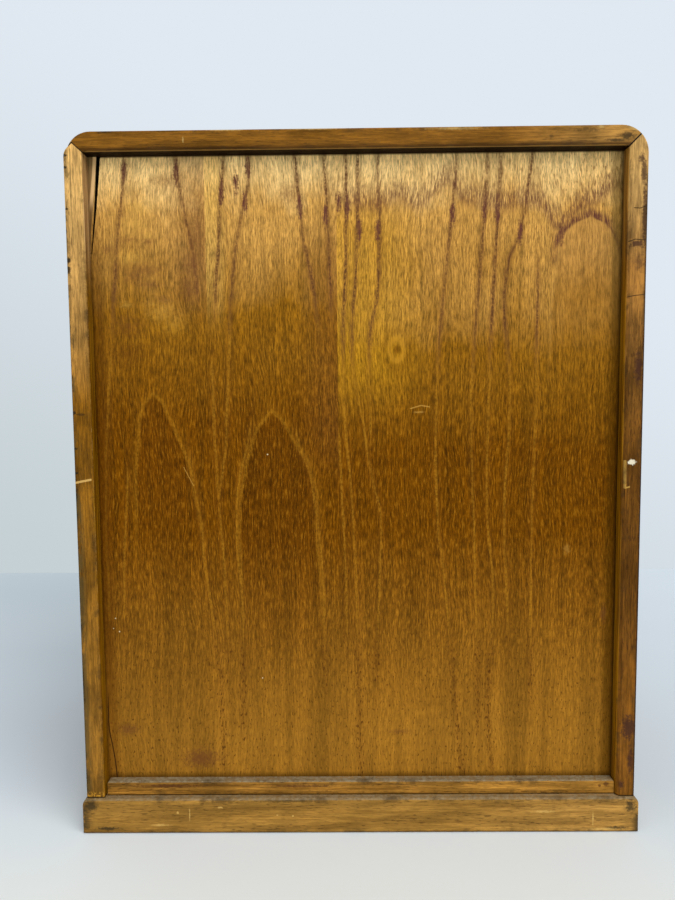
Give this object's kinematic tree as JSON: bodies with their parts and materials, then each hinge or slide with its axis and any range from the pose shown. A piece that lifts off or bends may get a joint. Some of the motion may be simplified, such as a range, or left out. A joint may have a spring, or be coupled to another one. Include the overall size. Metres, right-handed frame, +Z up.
{
  "type": "tabletop tansu cabinet",
  "caption": "Small upright wooden chest with rounded upper corners on a low plinth, a recessed back panel, bail-pulled drawers and a small hinged cupboard door.",
  "frame": {"origin": "on the surface that the plinth stands on, under the middle of the whole footprint from the back of the plinth to the front of the pulls", "axes": "+Z up along the cabinet's height, -Y out of the front with the drawers, +X to the right as seen from the front"},
  "size_m": [0.304, 0.2091, 0.375],
  "materials": {
    "case_wood": "worn satin varnish over honey-brown hardwood, dark at the arrises",
    "panel_wood": "satin amber varnish over open-grained wood with vertical cathedral figure",
    "front_wood": "satin amber varnish over open-grained wood with level figure",
    "drawer_lining_wood": "bare pale softwood, planed",
    "black_iron": "oil-blackened wrought iron, rubbed where it is touched"
  },
  "bodies": {
    "case": {"top_board": "case_wood", "left_side_board": "case_wood", "right_side_board": "case_wood", "bottom_board": "case_wood", "back_panel": "panel_wood", "base_front_rail": "case_wood", "base_back_rail": "case_wood", "base_left_rail": "case_wood", "base_right_rail": "case_wood", "base_corner_blocks": "drawer_lining_wood", "upper_shelf": "case_wood", "middle_shelf": "case_wood", "lower_shelf": "case_wood", "partition_board": "case_wood", "small_drawer_divider": "case_wood", "cupboard_shelf": "drawer_lining_wood", "cupboard_battens": "drawer_lining_wood", "hinge_case_leaves": "black_iron", "hinge_pins": "black_iron"},
    "top_drawer": {"top_drawer_front": "front_wood", "top_drawer_left_side": "drawer_lining_wood", "top_drawer_right_side": "drawer_lining_wood", "top_drawer_back": "drawer_lining_wood", "top_drawer_bottom": "drawer_lining_wood", "top_drawer_pull_fittings": "black_iron"},
    "top_drawer_pull": {"top_drawer_pull": "black_iron"},
    "upper_small_drawer": {"upper_small_drawer_front": "front_wood", "upper_small_drawer_left_side": "drawer_lining_wood", "upper_small_drawer_right_side": "drawer_lining_wood", "upper_small_drawer_back": "drawer_lining_wood", "upper_small_drawer_bottom": "drawer_lining_wood", "upper_small_drawer_pull_fittings": "black_iron"},
    "upper_small_drawer_pull": {"upper_small_drawer_pull": "black_iron"},
    "lower_small_drawer": {"lower_small_drawer_front": "front_wood", "lower_small_drawer_left_side": "drawer_lining_wood", "lower_small_drawer_right_side": "drawer_lining_wood", "lower_small_drawer_back": "drawer_lining_wood", "lower_small_drawer_bottom": "drawer_lining_wood", "lower_small_drawer_pull_fittings": "black_iron"},
    "lower_small_drawer_pull": {"lower_small_drawer_pull": "black_iron"},
    "middle_drawer": {"middle_drawer_front": "front_wood", "middle_drawer_left_side": "drawer_lining_wood", "middle_drawer_right_side": "drawer_lining_wood", "middle_drawer_back": "drawer_lining_wood", "middle_drawer_bottom": "drawer_lining_wood", "middle_drawer_pull_fittings": "black_iron"},
    "middle_drawer_pull": {"middle_drawer_pull": "black_iron"},
    "bottom_drawer": {"bottom_drawer_front": "front_wood", "bottom_drawer_left_side": "drawer_lining_wood", "bottom_drawer_right_side": "drawer_lining_wood", "bottom_drawer_back": "drawer_lining_wood", "bottom_drawer_bottom": "drawer_lining_wood", "bottom_drawer_pull_fittings": "black_iron"},
    "bottom_drawer_pull": {"bottom_drawer_pull": "black_iron"},
    "cupboard_door": {"cupboard_door_board": "front_wood", "cupboard_door_cleats": "front_wood", "hinge_door_leaves": "black_iron", "cupboard_door_pull_fittings": "black_iron"},
    "cupboard_door_pull": {"cupboard_door_pull": "black_iron"}
  },
  "joints": [
    {"name": "top_drawer_slide", "type": "slide", "parent": "case", "child": "top_drawer", "axis": [0, -1, 0], "range_m": [0, 0.15]},
    {"name": "top_drawer_pull_hinge", "type": "hinge", "parent": "top_drawer", "child": "top_drawer_pull", "pos_m": [0, -0.1021, 0.34725], "axis": [-1, 0, 0], "range_deg": [0, 170]},
    {"name": "upper_small_drawer_slide", "type": "slide", "parent": "case", "child": "upper_small_drawer", "axis": [0, -1, 0], "range_m": [0, 0.15]},
    {"name": "upper_small_drawer_pull_hinge", "type": "hinge", "parent": "upper_small_drawer", "child": "upper_small_drawer_pull", "pos_m": [-0.0735, -0.1021, 0.29025], "axis": [-1, 0, 0], "range_deg": [0, 170]},
    {"name": "lower_small_drawer_slide", "type": "slide", "parent": "case", "child": "lower_small_drawer", "axis": [0, -1, 0], "range_m": [0, 0.15]},
    {"name": "lower_small_drawer_pull_hinge", "type": "hinge", "parent": "lower_small_drawer", "child": "lower_small_drawer_pull", "pos_m": [-0.0735, -0.1021, 0.23125], "axis": [-1, 0, 0], "range_deg": [0, 170]},
    {"name": "middle_drawer_slide", "type": "slide", "parent": "case", "child": "middle_drawer", "axis": [0, -1, 0], "range_m": [0, 0.15]},
    {"name": "middle_drawer_pull_hinge", "type": "hinge", "parent": "middle_drawer", "child": "middle_drawer_pull", "pos_m": [0, -0.1021, 0.16525], "axis": [-1, 0, 0], "range_deg": [0, 170]},
    {"name": "bottom_drawer_slide", "type": "slide", "parent": "case", "child": "bottom_drawer", "axis": [0, -1, 0], "range_m": [0, 0.15]},
    {"name": "bottom_drawer_pull_hinge", "type": "hinge", "parent": "bottom_drawer", "child": "bottom_drawer_pull", "pos_m": [0, -0.1021, 0.0796], "axis": [-1, 0, 0], "range_deg": [0, 170]},
    {"name": "cupboard_door_hinge", "type": "hinge", "parent": "case", "child": "cupboard_door", "pos_m": [0.1396, -0.1001, 0.254], "axis": [0, 0, 1], "range_deg": [0, 170]},
    {"name": "cupboard_door_pull_hinge", "type": "hinge", "parent": "cupboard_door", "child": "cupboard_door_pull", "pos_m": [0.0268, -0.1021, 0.261], "axis": [-1, 0, 0], "range_deg": [0, 170]}
  ]
}
